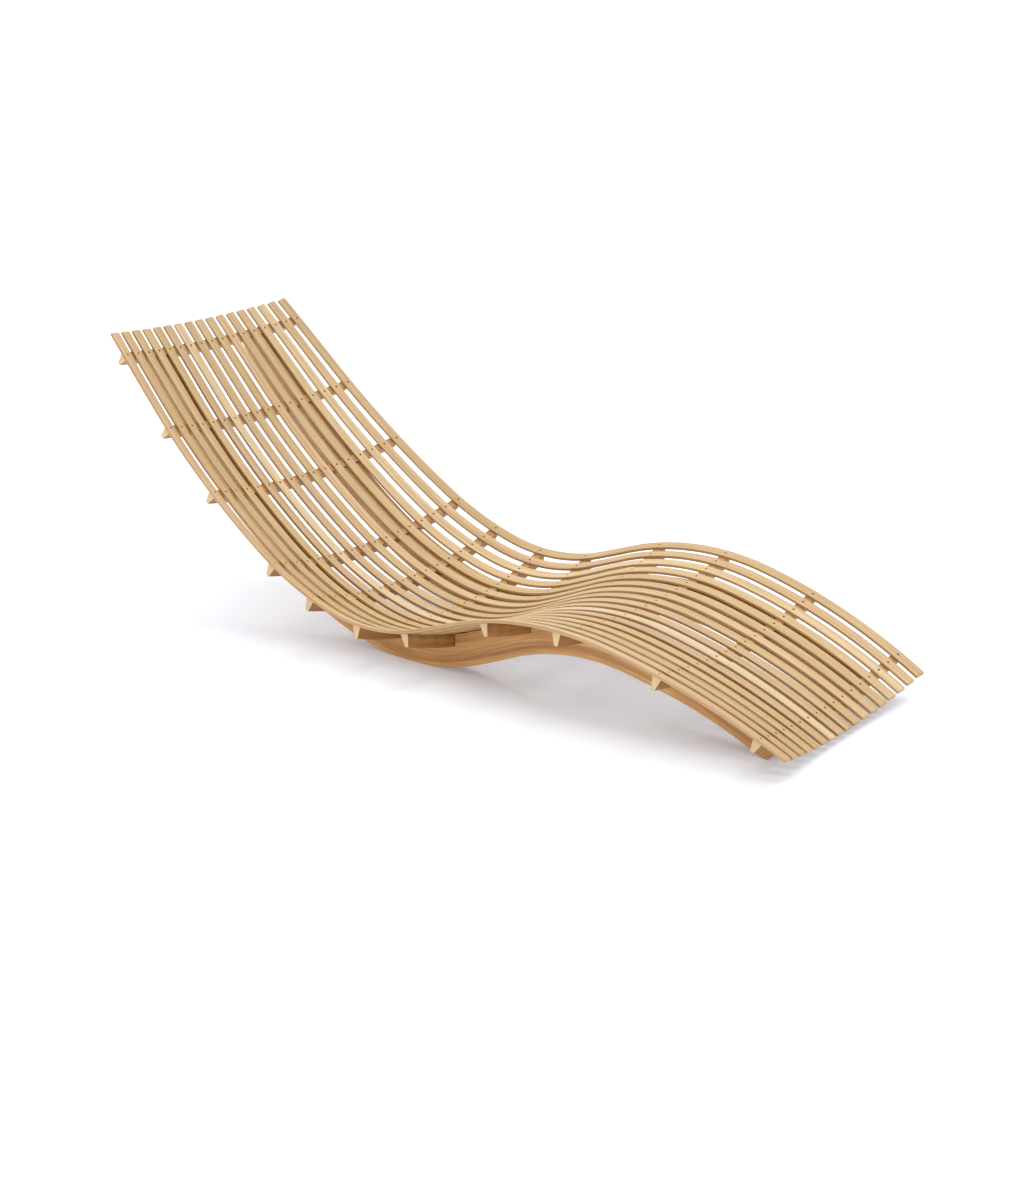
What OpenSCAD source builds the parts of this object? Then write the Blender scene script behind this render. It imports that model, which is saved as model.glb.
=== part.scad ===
// Curved teak chaise longue: slats on dished crossbars, carried by two deep bent beams.
// Length runs along X with the head at -X and the foot at +X, Z is up, the floor is z = 0.
// The origin is on the floor, in the middle of the length and of the width.

/* [Slats] */
// width of one slat
slat_w = 24.5; // [18:0.5:30]
// thickness of one slat
slat_t = 7.5; // [6:0.5:12]
// distance between neighbouring slats at the middle of the length
pitch = 42; // [34:0.5:48]
// share of the width that both ends are drawn in by
bulge = 0.155; // [0:0.005:0.2]

/* [Lying curve] */
// slope of the back at the head end, degrees below horizontal
back_angle = 44.6; // [38:0.2:50]
// straight run at the head end
back_flat = 213; // [120:1:300]
// long soft bend of the back, length
back_len = 458; // [360:1:540]
// long soft bend of the back, degrees
back_turn = 11.9; // [8:0.1:16]
// bend from the back into the seat, length
ease_len = 216; // [160:1:280]
// bend from the back into the seat, degrees
ease_turn = 15.6; // [10:0.1:20]
// tight bend of the seat, length
seat_len = 271; // [220:1:340]
// tight bend of the seat, degrees
seat_turn = 36.3; // [30:0.1:42]
// nearly straight rise to the knees, length
rise_len = 92; // [60:1:160]
// nearly straight rise to the knees, degrees
rise_turn = 1.4; // [0.4:0.1:4]
// hump under the knees, length
knee_len = 387; // [320:1:460]
// hump under the knees, degrees
knee_turn = 32.4; // [26:0.1:38]
// lower leg down to the foot end, length
leg_len = 438; // [360:1:520]
// lower leg down to the foot end, degrees
leg_turn = 17; // [10:0.1:22]

/* [Dish across the width] */
// how far the middle lies below the sides at the head
dish_head = 17.5; // [8:0.5:30]
// how far the middle lies below the sides in the seat
dish_seat = 59; // [40:0.5:70]
// how far the middle lies below the sides at the foot
dish_foot = 38; // [24:0.5:50]
// where the dish is deepest, measured along the slats
dish_at = 1019; // [900:1:1100]
// where the dish has settled to its foot value
dish_end = 1582; // [1400:1:1700]

/* [Crossbars] */
// depth of a crossbar
bar_d = 31; // [26:0.5:40]
// width of a crossbar at its top
bar_top = 22; // [16:0.5:26]
// width of a crossbar at its bottom
bar_bot = 9; // [8:0.5:15]
// how far a crossbar stops short of the outer side of the outermost slats
bar_short = 4; // [0:0.5:5]
// depth of the seat cut for each slat
seat_cut = 2; // [1.2:0.1:3]
// side clearance of a slat in its seat
seat_clear = 0.2; // [0.1:0.05:0.5]
// head end to the first crossbar
bar_first = 66; // [50:1:90]
// back, first bay
bay_1 = 216; // [180:1:240]
// back, second bay
bay_2 = 197; // [160:1:230]
// back, third bay
bay_3 = 233; // [190:1:260]
// seat, first bay
bay_4 = 129; // [100:1:160]
// seat, second bay
bay_5 = 141; // [110:1:170]
// seat, third bay
bay_6 = 136; // [110:1:170]
// knees, first bay
bay_7 = 224; // [190:1:250]
// knees, second bay
bay_8 = 185; // [150:1:220]
// lower leg, first bay
bay_9 = 241; // [200:1:260]
// lower leg, second bay
bay_10 = 238; // [200:1:250]

/* [Beams] */
// thickness of a beam
beam_w = 52; // [40:1:70]
// depth of a beam below the slats in the seat
beam_d = 75; // [66:1:90]
// depth of a beam at the head
beam_head_d = 53.5; // [48:0.5:70]
// depth of a beam at the foot
beam_foot_d = 70.5; // [60:0.5:80]
// length over which a beam deepens from the head
head_ease = 520; // [300:5:700]
// where a beam starts to thin towards the foot
foot_ease_from = 1640; // [1400:5:1700]
// where a beam has its foot depth
foot_ease_to = 1860; // [1750:5:2000]
// middle plane of a beam, from the middle of the chaise
beam_y = 171; // [140:1:190]
// drainage gap between the slats and the top of a beam
beam_gap = 3; // [2.5:0.1:6]
// clearance on each side of a crossbar in its housing
house_clear = 0.25; // [0.1:0.05:0.6]
// beam length beyond the middle of the first and the last crossbar
beam_over = 8; // [7:0.5:12]
// how much is planed off the underside where it rests on the floor
floor_flat = 3.5; // [1:0.1:5]

/* [Screws] */
// head diameter of a slat screw
head_d = 5.6; // [4:0.1:7]
// head height of a slat screw
head_h = 2.2; // [1.5:0.1:3]
// how far a slat screw head lies below the face
head_sink = 0.8; // [0.4:0.1:1.5]
// shank diameter of a slat screw
shank_d = 3.6; // [3:0.1:4.5]
// depth a slat screw goes into the crossbar
shank_in = 9; // [7:0.5:14]
// radial clearance round every screw
screw_clear = 0.15; // [0.1:0.05:0.4]
// depth of a screw's bore beyond its tip
shank_tip = 1; // [0.5:0.1:3]
// head diameter of a beam screw
bolt_head_d = 9; // [7:0.1:11]
// head height of a beam screw
bolt_head_h = 4; // [3:0.1:6]
// shank diameter of a beam screw
bolt_d = 4.8; // [4:0.1:6]
// depth a beam screw goes into the crossbar
bolt_in = 11; // [8:0.5:13]
// wood of the beam that a beam screw grips, below the crossbar
bolt_grip = 16; // [12:0.5:20]

/* [Hidden] */
slat_n = 17;
mid_n = (slat_n + 1) / 2;
bays = [bar_first, bay_1, bay_2, bay_3, bay_4, bay_5, bay_6, bay_7, bay_8, bay_9, bay_10];
bar_n = len(bays);
function total(v, n) = n < 0 ? 0 : v[n] + total(v, n - 1);
bar_s = [for (i = [0 : bar_n - 1]) total(bays, i)];
runs = [[back_flat, 0], [back_len, -back_turn], [ease_len, -ease_turn], [seat_len, -seat_turn],
    [rise_len, -rise_turn], [knee_len, knee_turn], [leg_len, leg_turn]];
slat_len = total([for (r = runs) r[0]], len(runs) - 1);

// Drawing lengths: a straight step of a bend, how far a cut runs past the wood that it
// leaves, and a length that reaches past the whole chaise.
step_len = slat_len / 80;
past = bar_d / 2;
far = 2 * slat_len;

// The lying curve: straight and circular runs laid end to end, each starting at the
// slope where the one before it stopped. A knot holds [length, x, z, slope, bend rate].
function walk(x, z, h, k, l) = abs(k) < 1e-7
    ? [x + l * cos(h), z - l * sin(h)]
    : let (r = 180 / PI / k) [x + r * (sin(h + k * l) - sin(h)), z + r * (cos(h + k * l) - cos(h))];
function knots(i, s, x, z, h) = i == len(runs) ? [[s, x, z, h, 0]]
    : let (l = runs[i][0], k = runs[i][1] / l, p = walk(x, z, h, k, l))
      concat([[s, x, z, h, k]], knots(i + 1, s + l, p[0], p[1], h + runs[i][1]));
K = knots(0, 0, 0, 0, back_angle);
function run_at(s) = max([for (i = [0 : len(runs) - 1]) s >= K[i][0] ? i : 0]);
function slope(s) = let (q = K[run_at(s)]) q[3] + q[4] * (s - q[0]);
function side_line(s) = let (q = K[run_at(s)]) walk(q[1], q[2], q[3], q[4], s - q[0]);
function up(s) = [sin(slope(s)), cos(slope(s))];

// The dish: at every place along the slats their tops lie on a circle across the width.
function dish(s) = s < dish_at
    ? dish_head + (dish_seat - dish_head) * sin(90 * s / dish_at)
    : dish_foot + (dish_seat - dish_foot) * (1 + cos(180 * min(1, (s - dish_at) / (dish_end - dish_at)))) / 2;
function spread(s) = 1 - bulge * pow(2 * s / slat_len - 1, 2);
function half(s) = (mid_n - 1) * pitch * spread(s);
function rad(s) = (pow(half(s), 2) + pow(dish(s), 2)) / (2 * dish(s));
function drop(s, u) = sqrt(pow(rad(s), 2) - pow(u * half(s), 2)) - rad(s) + dish(s);
function share(j) = (j - mid_n) / (mid_n - 1);
function top_xz(s, u) = side_line(s) - drop(s, u) * up(s);

// Placing: the middle of the length is x = 0 and the beams rest on z = 0.
function eased(a, b, s) = (1 - cos(180 * max(0, min(1, (s - a) / (b - a))))) / 2;
function depth(s) = beam_head_d + (beam_d - beam_head_d) * sin(90 * min(1, s / head_ease))
    + (beam_foot_d - beam_d) * eased(foot_ease_from, foot_ease_to, s);
function over_beam(s) = top_xz(s, beam_y / half(s));
function beam_foot_line(s) = over_beam(s) - (slat_t + depth(s)) * up(s);
beam_from = bar_s[0] - beam_over;
beam_to = bar_s[bar_n - 1] + beam_over;
low_z = min([for (k = [-60 : 60]) beam_foot_line(dish_at + k * slat_len / 400)[1]]);
x_off = ((dish_head + slat_t) * sin(back_angle) - K[len(runs)][1]) / 2;
z_off = -low_z - floor_flat;
function top_at(s, j) = let (p = top_xz(s, share(j)))
    [p[0] + x_off, share(j) * half(s), p[1] + z_off];

// Places along a slat: a straight land at every crossbar and short steps between them.
land = bar_top / 2 + bar_top / 7;
function steps(a, b) = let (n = max(1, ceil((b - a) / step_len))) [for (k = [1 : n]) a + (b - a) * k / n];
places = concat([0], steps(0, bar_s[0] - land),
    [for (i = [0 : bar_n - 1]) each concat([bar_s[i] + land],
        i < bar_n - 1 ? steps(bar_s[i] + land, bar_s[i + 1] - land) : steps(bar_s[i] + land, slat_len))]);
function spot(s) = [for (k = [0 : len(places) - 1]) if (abs(places[k] - s) < 0.001) k][0];

// A slat leans with the dish: it is drawn in a frame turned about X by its own lean,
// as a side outline and a plan outline that are cut from each other.
lean_rate = 1.75 * dish_seat / half(dish_at);
function lean(j) = atan(share(j) * lean_rate);
function turned(p, a) = [p[0], p[1] * cos(a) + p[2] * sin(a), p[2] * cos(a) - p[1] * sin(a)];
function line_of(j) = [for (s = places) turned(top_at(s, j), lean(j))];
function side_of(v) = [for (p = v) [p[0], p[2]]];
function plan_of(v) = [for (p = v) [p[0], p[1]]];
function unit(v) = v / norm(v);
function left_of(a, b) = let (d = unit(b - a)) [-d[1], d[0]];
function mitre(v, k) = let (n = len(v),
    a = k > 0 ? left_of(v[k - 1], v[k]) : left_of(v[0], v[1]),
    b = k < n - 1 ? left_of(v[k], v[k + 1]) : left_of(v[n - 2], v[n - 1])) (a + b) / (1 + a * b);
function moved(v, d) = [for (k = [0 : len(v) - 1]) v[k] + d * mitre(v, k)];
function turned_round(v) = [for (k = [len(v) - 1 : -1 : 0]) v[k]];
function longer(v, d) = let (n = len(v)) concat([v[0] + d * unit(v[0] - v[1])],
    [for (k = [1 : n - 2]) v[k]], [v[n - 1] + d * unit(v[n - 1] - v[n - 2])]);
function band(v, a, b) = concat(moved(v, a), turned_round(moved(v, b)));

// An outline given in x and z, drawn out sideways, and one in x and y, drawn out in height.
module sideways(outline, wide) rotate([90, 0, 0]) linear_extrude(wide, center = true) polygon(outline);
module upwards(outline, high) linear_extrude(high, center = true) polygon(outline);

// The frame of a screw: on the face of slat j at crossbar i, with z straight out of the face.
module at_joint(i, j) {
    v = side_of(line_of(j));
    w = plan_of(line_of(j));
    k = spot(bar_s[i] + land);
    m = (v[k - 1] + v[k]) / 2;
    y = (w[k - 1][1] + w[k][1]) / 2;
    n = left_of(v[k - 1], v[k]);
    rotate([lean(j), 0, 0]) translate([m[0], y, m[1]]) rotate([0, atan2(n[0], n[1]), 0]) children();
}

module slat_screw_hole(wider) {
    translate([0, 0, -head_sink - head_h]) cylinder(h = past, d = head_d + 2 * wider, $fn = 24);
    translate([0, 0, -past]) cylinder(h = past - head_sink - head_h / 2, d = shank_d + 2 * wider, $fn = 20);
}

module slat(j) {
    v = line_of(j);
    color(j % 3 == 0 ? "#dcb77f" : j % 3 == 1 ? "#e2c08c" : "#d6ad74")
    difference() {
        rotate([lean(j), 0, 0]) intersection() {
            sideways(band(side_of(v), 0, -slat_t), far);
            upwards(band(longer(plan_of(v), past), slat_w / 2, -slat_w / 2), far);
        }
        for (i = [0 : bar_n - 1]) at_joint(i, j) slat_screw_hole(screw_clear);
    }
}

// The seat of slat j in crossbar i: the land of the slat, a little wider and open at the top.
// The two outermost seats run out through the ends of the crossbar.
module slat_seat(i, j) {
    v = line_of(j);
    k = spot(bar_s[i] + land);
    a = moved(side_of(v), -slat_t);
    p = plan_of(v);
    left = slat_w / 2 + (j == slat_n ? past : seat_clear);
    right = slat_w / 2 + (j == 1 ? past : seat_clear);
    rotate([lean(j), 0, 0]) intersection() {
        sideways(band(longer([a[k - 1], a[k]], past), past, 0), far);
        upwards(band(longer([p[k - 1], p[k]], past), left, -right), far);
    }
}

// A crossbar before its ends and its seats are cut: a tapered bar bent round the circle of
// the dish. The same shape, grown, makes its housings; an end housing also runs out by open_end.
module bar_blank(i, wider, higher, open_end = 0) {
    s = bar_s[i];
    r = rad(s);
    top = r + slat_t - seat_cut;
    reach = asin(half(s) / r) + slat_w / r * 180 / PI;
    rate = (bar_top - bar_bot) / 2 / bar_d;
    head_side = i == 0 ? wider + open_end : wider;
    foot_side = i == bar_n - 1 ? wider + open_end : wider;
    c = side_line(s) + (r - dish(s)) * up(s);
    translate([c[0] + x_off, 0, c[1] + z_off]) rotate([0, 90 + slope(s), 0]) rotate([0, 0, -reach])
        rotate_extrude(angle = 2 * reach, $fn = 720) polygon([
            [top - higher, -bar_top / 2 - head_side - rate * higher], [top + bar_d, -bar_bot / 2 - head_side],
            [top + bar_d, bar_bot / 2 + foot_side], [top - higher, bar_top / 2 + foot_side + rate * higher]]);
}

// The frame of a beam screw: on the underside of crossbar i, over the middle of the beam.
module at_bolt(i, side) {
    s = bar_s[i];
    r = rad(s);
    y = side * beam_y;
    low = sqrt(pow(r + slat_t - seat_cut + bar_d, 2) - y * y);
    c = side_line(s) + (r - dish(s) - low) * up(s);
    translate([c[0] + x_off, y, c[1] + z_off]) rotate([0, slope(s), 0]) children();
}

module crossbar(i) {
    color("#cfa164")
    difference() {
        intersection() {
            bar_blank(i, 0, 0);
            cube([2 * far, 2 * half(bar_s[i]) + slat_w - 2 * bar_short, 2 * far], center = true);
        }
        for (j = [1 : slat_n]) slat_seat(i, j);
        for (j = [1 : slat_n]) at_joint(i, j) translate([0, 0, -slat_t - shank_in - shank_tip])
            cylinder(h = shank_in + past, d = shank_d + 2 * screw_clear, $fn = 20);
        for (side = [-1, 1]) at_bolt(i, side) translate([0, 0, -past])
            cylinder(h = past + bolt_in + shank_tip, d = bolt_d + 2 * screw_clear, $fn = 24);
    }
}

module slat_screws(i) {
    color("#6b6a66")
    for (j = [1 : slat_n]) at_joint(i, j) {
        translate([0, 0, -head_sink - head_h]) cylinder(h = head_h, d = head_d, $fn = 24);
        translate([0, 0, -slat_t - shank_in])
            cylinder(h = slat_t + shank_in - head_sink - head_h, d = shank_d, $fn = 20);
    }
}

// A beam: a deep bent board with its top planed to the lean of the dish, planed flat where
// it meets the floor, housed for every crossbar and bored from below for the beam screws.
module beam(side) {
    tilt = side * atan(beam_y / half(dish_at) * lean_rate);
    all = concat([beam_from], steps(beam_from, beam_to));
    foot = [for (s = all) beam_foot_line(s) + [x_off, z_off]];
    top = [for (s = all) let (p = over_beam(s)) turned([p[0] + x_off, side * beam_y, p[1] + z_off], tilt)];
    color("#b5803f")
    difference() {
        intersection() {
            translate([0, side * beam_y, 0])
                sideways(concat(moved(foot, beam_d + past), turned_round(foot)), beam_w);
            translate([-far, -far, 0]) cube(2 * far);
        }
        rotate([tilt, 0, 0]) sideways(band(longer(side_of(top), past), beam_d + past, -slat_t - beam_gap), far);
        for (i = [0 : bar_n - 1]) {
            bar_blank(i, house_clear, past, past);
            at_bolt(i, side) {
                translate([0, 0, -bolt_grip - past])
                    cylinder(h = bolt_grip + 2 * past, d = bolt_d + 2 * screw_clear, $fn = 24);
                translate([0, 0, -bolt_grip - beam_d])
                    cylinder(h = beam_d, d = bolt_head_d + 2 * screw_clear, $fn = 32);
            }
        }
    }
}

module beam_screws(side) {
    color("#7d7b76")
    for (i = [0 : bar_n - 1]) at_bolt(i, side) {
        translate([0, 0, -bolt_grip - bolt_head_h]) cylinder(h = bolt_head_h, d = bolt_head_d, $fn = 32);
        translate([0, 0, -bolt_grip]) cylinder(h = bolt_grip + bolt_in, d = bolt_d, $fn = 24);
    }
}

slat(1);  // slat_01
slat(2);  // slat_02
slat(3);  // slat_03
slat(4);  // slat_04
slat(5);  // slat_05
slat(6);  // slat_06
slat(7);  // slat_07
slat(8);  // slat_08
slat(9);  // slat_09
slat(10);  // slat_10
slat(11);  // slat_11
slat(12);  // slat_12
slat(13);  // slat_13
slat(14);  // slat_14
slat(15);  // slat_15
slat(16);  // slat_16
slat(17);  // slat_17
crossbar(0);  // crossbar_01
crossbar(1);  // crossbar_02
crossbar(2);  // crossbar_03
crossbar(3);  // crossbar_04
crossbar(4);  // crossbar_05
crossbar(5);  // crossbar_06
crossbar(6);  // crossbar_07
crossbar(7);  // crossbar_08
crossbar(8);  // crossbar_09
crossbar(9);  // crossbar_10
crossbar(10);  // crossbar_11
beam(1);  // beam_left
beam(-1);  // beam_right
slat_screws(0);  // slat_screws_01
slat_screws(1);  // slat_screws_02
slat_screws(2);  // slat_screws_03
slat_screws(3);  // slat_screws_04
slat_screws(4);  // slat_screws_05
slat_screws(5);  // slat_screws_06
slat_screws(6);  // slat_screws_07
slat_screws(7);  // slat_screws_08
slat_screws(8);  // slat_screws_09
slat_screws(9);  // slat_screws_10
slat_screws(10);  // slat_screws_11
beam_screws(1);  // beam_screws_left
beam_screws(-1);  // beam_screws_right
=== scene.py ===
# %% [markdown]
# A slatted teak chaise longue, dressed in Blender.
#
# The real one is a rigid lounger: long thin slats of teak are bent into one lying curve and
# screwed to eleven dished crossbars, which drop into two deep bent beams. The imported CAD
# model already holds every piece at its true place. This lesson gives the pieces the look
# of wood: bent slats with eased edges, end grain, laminations, countersunk screw heads.

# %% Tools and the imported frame
import math

import bpy
import numpy as np
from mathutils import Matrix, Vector


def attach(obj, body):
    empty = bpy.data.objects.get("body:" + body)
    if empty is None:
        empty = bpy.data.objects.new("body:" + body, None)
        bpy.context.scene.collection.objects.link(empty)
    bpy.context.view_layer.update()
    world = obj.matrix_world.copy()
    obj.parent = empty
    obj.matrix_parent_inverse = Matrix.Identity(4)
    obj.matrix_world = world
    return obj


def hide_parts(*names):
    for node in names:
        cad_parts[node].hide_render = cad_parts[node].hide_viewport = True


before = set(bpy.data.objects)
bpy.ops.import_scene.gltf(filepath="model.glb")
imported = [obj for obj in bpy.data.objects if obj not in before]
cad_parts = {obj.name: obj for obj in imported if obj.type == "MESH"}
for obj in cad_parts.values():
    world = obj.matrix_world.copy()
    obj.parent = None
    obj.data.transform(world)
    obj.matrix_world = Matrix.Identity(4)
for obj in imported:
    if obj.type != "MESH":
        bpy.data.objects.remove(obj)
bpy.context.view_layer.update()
rng = np.random.default_rng(17)
print("CAD nodes:", len(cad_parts))

# %% [markdown]
# The lying curve is the line that the outermost slats follow, seen from the side. A joiner
# would draw it as straight and round runs laid end to end. A spline through points would
# look as smooth, but runs with real lengths and bends are what the slats are bent to, so
# the same runs are used here, and every other piece is worked out from this one curve.

# %% The lying curve
MM = 0.001
TINY = 0.001 * MM
BACK_ANGLE = 44.6  # degrees below level at the head, going towards the foot
# Each run's length in millimetres, and how far it turns in degrees: downwards, or upwards
# below nought.
RUNS = [(213, 0), (458, -11.9), (216, -15.6), (271, -36.3), (92, -1.4), (387, 32.4), (438, 17)]
RUN_LENGTH = np.array([run[0] * MM for run in RUNS])
RUN_TURN = np.radians([run[1] for run in RUNS])
SLAT_LEN = RUN_LENGTH.sum()


def bend(x, z, slope, rate, length):
    """A run from a point: a straight line, or a circle of radius 1/rate met at that slope."""
    straight = 1e-9
    rate = np.where(np.abs(rate) < straight, straight, rate)
    turned = slope + rate * length
    return x + (np.sin(turned) - np.sin(slope)) / rate, z + (np.cos(turned) - np.cos(slope)) / rate


def run_starts():
    """Length, x, z, slope and bend rate where each run of the lying curve starts."""
    s, x, z, slope, rows = 0.0, 0.0, 0.0, math.radians(BACK_ANGLE), []
    for length, turn in zip(RUN_LENGTH, RUN_TURN):
        rows.append([s, x, z, slope, turn / length])
        x, z = bend(x, z, slope, turn / length, length)
        s, slope = s + length, slope + turn
    return np.array(rows), float(x), float(z)


STARTS, END_X, END_Z = run_starts()


def side_line(s):
    """x and z of the outer slats' top at length s, and the slope there in radians."""
    s = np.asarray(s, float)
    row = STARTS[np.clip(np.searchsorted(STARTS[:, 0], s, side="right") - 1, 0, len(RUNS) - 1)]
    past = s - row[..., 0]
    x, z = bend(row[..., 1], row[..., 2], row[..., 3], row[..., 4], past)
    return x, z, row[..., 3] + row[..., 4] * past


print(f"slats are {SLAT_LEN:.3f} m long, the curve falls {-END_Z:.3f} m over {END_X:.3f} m")

# %% [markdown]
# The deck is the surface that all slat tops lie on. Across the width it is dished: at each
# length the tops lie on a circle, deepest in the seat. In plan it is a soft barrel, because
# the slats fan out towards the middle. Two numbers name a place on it: s, the length from
# the head, and u, from -1 at one side to +1 at the other.

# %% The dished deck
# The slats: how many, their width and thickness, their pitch in the middle of the chaise,
# and the share by which the deck is narrower at its ends.
SLAT_N, SLAT_W, SLAT_T, PITCH, BULGE = 17, 24.5 * MM, 7.5 * MM, 42 * MM, 0.155
# The dish's depth at the head, in the seat and at the foot, and where it reaches the last two.
DISH_HEAD, DISH_SEAT, DISH_FOOT = 17.5 * MM, 59 * MM, 38 * MM
DISH_AT, DISH_END = 1019 * MM, 1582 * MM
# The crossbars' places along the slats, from the gaps between them.
BAR_S = np.cumsum([66, 216, 197, 233, 129, 141, 136, 224, 185, 241, 238]) * MM
# A beam's depth in the seat, at the head and at the foot, and where it changes.
BEAM_D, BEAM_HEAD_D, BEAM_FOOT_D = 75 * MM, 53.5 * MM, 70.5 * MM
HEAD_EASE, FOOT_EASE_FROM, FOOT_EASE_TO = 520 * MM, 1640 * MM, 1860 * MM
# A beam's place across the width, and how much is planed off it where it is lowest.
BEAM_Y, FLOOR_FLAT = 171 * MM, 3.5 * MM


def eased(a, b, s):
    """0 before a, 1 after b, and half a cosine wave between."""
    return (1 - np.cos(np.pi * np.clip((s - a) / (b - a), 0, 1))) / 2


def dish(s):
    """How far the middle of the deck lies below its sides: a quarter sine, then a cosine ease."""
    rising = DISH_HEAD + (DISH_SEAT - DISH_HEAD) * np.sin(np.pi / 2 * np.clip(s / DISH_AT, 0, 1))
    return rising + (DISH_FOOT - DISH_SEAT) * eased(DISH_AT, DISH_END, s)


def half_width(s):
    """Half the deck's width, between the middles of the outer slats: a flat parabola."""
    return (SLAT_N - 1) / 2 * PITCH * (1 - BULGE * (2 * s / SLAT_LEN - 1) ** 2)


def dish_radius(s):
    """Radius of the circle through both sides and the sunken middle."""
    return (half_width(s) ** 2 + dish(s) ** 2) / (2 * dish(s))


def drop(s, u):
    """Depth of the deck below its sides, on that circle."""
    return np.sqrt(dish_radius(s) ** 2 - (u * half_width(s)) ** 2) - dish_radius(s) + dish(s)


def beam_depth(s):
    """Depth of a beam below the slats: thin at the head, deep in the seat, less at the foot."""
    near_head = np.sin(np.pi / 2 * np.clip(s / HEAD_EASE, 0, 1))
    growing = BEAM_HEAD_D + (BEAM_D - BEAM_HEAD_D) * near_head
    return growing + (BEAM_FOOT_D - BEAM_D) * eased(FOOT_EASE_FROM, FOOT_EASE_TO, s)


# The beams' lowest point is looked for round the deepest dish, in steps of a 400th of the
# slats' length. All heights are measured from the floor that the planed beams stand on.
seat = DISH_AT + np.arange(-60, 61) * SLAT_LEN / 400
_, seat_z, seat_slope = side_line(seat)
seat_depth = drop(seat, BEAM_Y / half_width(seat)) + SLAT_T + beam_depth(seat)
beam_low = seat_z - seat_depth * np.cos(seat_slope)
Z_OFF = -beam_low.min() - FLOOR_FLAT
X_OFF = ((DISH_HEAD + SLAT_T) * math.sin(math.radians(BACK_ANGLE)) - END_X) / 2


def place(s, y, below):
    """Point at length s and width y, a distance below the side line, square to that line."""
    x, z, slope = side_line(s)
    x, z = x + X_OFF - below * np.sin(slope), z + Z_OFF - below * np.cos(slope)
    return np.stack(np.broadcast_arrays(x, y, z), -1)


def deck(s, u):
    """Point of the deck at length s and share u of the half width."""
    return place(s, u * half_width(s), drop(s, u))


print(f"head end at x {X_OFF:.3f} m, z {Z_OFF:.3f} m; deepest dish {DISH_SEAT:.3f} m")

# %% [markdown]
# Every long piece here is a profile carried along a path. The points make a grid, rows
# along the piece and columns round it, and a short helper turns such a grid into a closed
# mesh. Each point also keeps where it would be in the straight board before bending: that
# goes into an attribute, so the grain follows the bend as it does in real bent wood.

# %% Grids, frames and corners
ROWS_APART = 4 * MM  # the least distance between a spaced row and one that has to be there


def unit(v):
    """Vectors of length one along the last axis."""
    return v / np.linalg.norm(v, axis=-1, keepdims=True)


def carried(middle, across, out, sideways, outwards):
    """A grid of points: every row's middle, moved across and out by those amounts."""
    moved = middle[:, None] + sideways[..., None] * across[:, None]
    return moved + outwards[..., None] * out[:, None]


def tube_faces(rows, columns, skip=None):
    """Quads between neighbouring rows of a closed profile, apart from those marked in skip."""
    i, j = np.meshgrid(np.arange(rows - 1), np.arange(columns), indexing="ij")
    if skip is not None:
        i, j = i[~skip], j[~skip]
    i, j = i.ravel(), j.ravel()
    k = (j + 1) % columns
    here, there = i * columns, (i + 1) * columns
    return np.stack([here + j, there + j, there + k, here + k], 1)


def end_caps(rows, columns):
    """The two end faces of a tube; the last one is turned over to face outwards too."""
    first = np.arange(columns)
    return [first[None], (first + (rows - 1) * columns)[None, ::-1]]


def corner(cx, cy, radius, start, steps):
    """Points of a quarter circle round (cx, cy), clockwise from the angle start, in degrees."""
    angle = np.radians(start - np.linspace(0, 90, steps + 1))
    return np.stack([cx + radius * np.cos(angle), cy + radius * np.sin(angle)], 1)


def board_places(s, sideways, outwards):
    """Where a grid's points would lie in the straight board: along, across and out."""
    return np.stack(np.broadcast_arrays(s[:, None], sideways, outwards), -1).reshape(-1, 3)


def row_places(special, spaced):
    """Row places in order: all special ones, and those evenly spaced that keep clear of them."""
    clear = np.abs(spaced[:, None] - special[None]).min(1) > ROWS_APART
    return np.sort(np.concatenate([special, spaced[clear]]))


print("grid helpers ready")

# %% [markdown]
# A countersunk hole could be cut with a boolean, which leaves thin stray triangles. Here
# the grid has a square of four by four cells at each screw instead. The square is left out,
# and rings of points lead from its border to a circle, over a small chamfer, and down to
# the floor of the hole. All faces stay neat, and the edge of the hole catches the light.

# %% Round holes in a grid
CHAMFER = 0.35 * MM
CELLS = 4  # along each side of the square
BORDER_AT = np.r_[np.zeros(CELLS), np.arange(CELLS), np.full(CELLS, CELLS), np.arange(CELLS, 0, -1)]
BORDER_ROW = BORDER_AT.astype(int)
BORDER_COLUMN = np.roll(BORDER_ROW, -CELLS)
TOWARDS = unit(np.stack([BORDER_ROW, BORDER_COLUMN], 1) - CELLS / 2)
HOLE_RINGS, RING_POINTS = 3, 4 * CELLS


def round_holes(first_rows, first_column, columns, middles, along, across, radius, depths, start):
    """Points and faces of one round hole in each left-out square of the grid.

    along and across point the way that the rows and the columns run. Three rings lie in each
    hole: a chamfer wider than the radius, one chamfer down, and on the floor of the hole."""
    out = np.cross(along, across)
    rings, places, faces = [], [], []
    for k, row in enumerate(first_rows):
        outer = (row + BORDER_ROW) * columns + first_column + BORDER_COLUMN
        for wide, deep in ((radius + CHAMFER, 0), (radius, CHAMFER), (radius, depths[k])):
            x, y = wide * TOWARDS[:, :1], wide * TOWARDS[:, 1:]
            rings.append(middles[k] + x * along[k] + y * across[k] - deep * out[k])
            places.append(np.concatenate([x, y, np.full((RING_POINTS, 1), -deep)], 1))
            inner = start + np.arange(RING_POINTS)
            start += RING_POINTS
            faces.append(np.stack([outer, inner, np.roll(inner, -1), np.roll(outer, -1)], 1))
            outer = inner
        faces.append(outer[None, ::-1])
    return np.concatenate(rings), np.concatenate(places), faces


def left_out(rows, columns, first_rows, first_column):
    """Marks the grid's cells that the squares round the holes take."""
    skip = np.zeros((rows - 1, columns), bool)
    for row in first_rows:
        skip[row:row + CELLS, first_column:first_column + CELLS] = True
    return skip


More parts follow.
